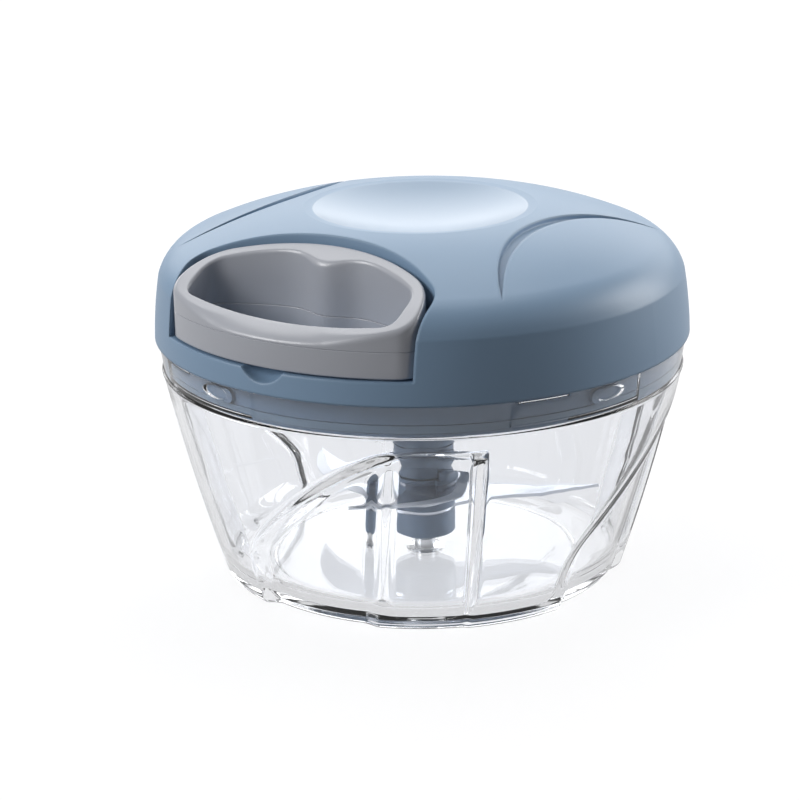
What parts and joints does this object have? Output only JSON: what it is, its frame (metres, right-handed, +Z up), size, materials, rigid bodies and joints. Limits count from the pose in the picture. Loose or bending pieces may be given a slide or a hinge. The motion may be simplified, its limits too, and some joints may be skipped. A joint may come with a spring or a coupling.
{
  "type": "food chopper",
  "caption": "Hand-pulled food chopper: clear swirled bowl, blade set on a pin, and a domed lid with a sprung cord drum and a D-shaped pull handle.",
  "frame": {"origin": "centre of the bowl's base, on the surface that it stands on", "axes": "+Z up along the blade axis, -Y towards the pull handle, +X to the right of someone who faces the handle"},
  "size_m": [0.125, 0.125, 0.0864],
  "materials": {
    "clear_plastic": "clear polished",
    "blue_plastic": "fine satin",
    "grey_plastic": "satin",
    "white_plastic": "moulded",
    "steel": "brushed",
    "spring_steel": "blued",
    "silicone": "soft",
    "cord": "braided"
  },
  "bodies": {
    "bowl": {"bowl": "clear_plastic", "bowl_pin": "steel"},
    "seal": {"lid_seal": "silicone"},
    "lid": {"lid_shell": "blue_plastic", "lid_base": "blue_plastic", "lid_screws": "steel", "cord_eyelet": "white_plastic", "cord_lead": "cord", "spring_arbor": "white_plastic", "drum_axle": "steel", "return_spring": "spring_steel", "shaft_bushes": "white_plastic"},
    "handle": {"pull_handle_top": "grey_plastic", "pull_handle_bottom": "grey_plastic", "handle_screws": "steel", "cord_knot": "cord"},
    "drum": {"cord_drum": "white_plastic", "cord_winding": "cord", "spring_cover": "white_plastic", "clutch_pawls": "steel"},
    "coupler": {"drive_coupler": "blue_plastic", "ratchet_wheel": "white_plastic", "retaining_clip": "spring_steel"},
    "blade_set": {"blade_hub": "blue_plastic", "blade_spacers": "blue_plastic", "hub_cap": "blue_plastic", "blade_lower": "steel", "blade_middle": "steel", "blade_upper": "steel"}
  },
  "joints": [
    {"name": "lid_lift", "type": "slide", "parent": "bowl", "child": "seal", "axis": [0, 0, 1], "range_m": [0, 0.07]},
    {"name": "lid_turn", "type": "hinge", "parent": "seal", "child": "lid", "pos_m": [0, 0, 0.055], "axis": [0, 0, 1], "range_deg": [-18, 0]},
    {"name": "handle_pull", "type": "slide", "parent": "lid", "child": "handle", "axis": [0, -1, 0], "range_m": [0, 0.36], "stiffness_N_per_m": 8, "springref_m": -0.3},
    {"name": "drum_spin", "type": "hinge", "parent": "lid", "child": "drum", "pos_m": [0, 0, 0.07], "axis": [0, 0, 1], "range_deg": [0, 1290]},
    {"name": "coupler_spin", "type": "hinge", "parent": "lid", "child": "coupler", "pos_m": [0, 0, 0.045], "axis": [0, 0, 1], "range_deg": [0, 1290]},
    {"name": "blade_spin", "type": "hinge", "parent": "bowl", "child": "blade_set", "pos_m": [0, 0, 0.012], "axis": [0, 0, 1], "range_deg": [0, 1290]}
  ],
  "couplings": [
    {"joint": "drum_spin", "follows": "handle_pull", "rad_per_m": 62.5},
    {"joint": "coupler_spin", "follows": "handle_pull", "rad_per_m": 62.5},
    {"joint": "blade_spin", "follows": "handle_pull", "rad_per_m": 62.5}
  ]
}
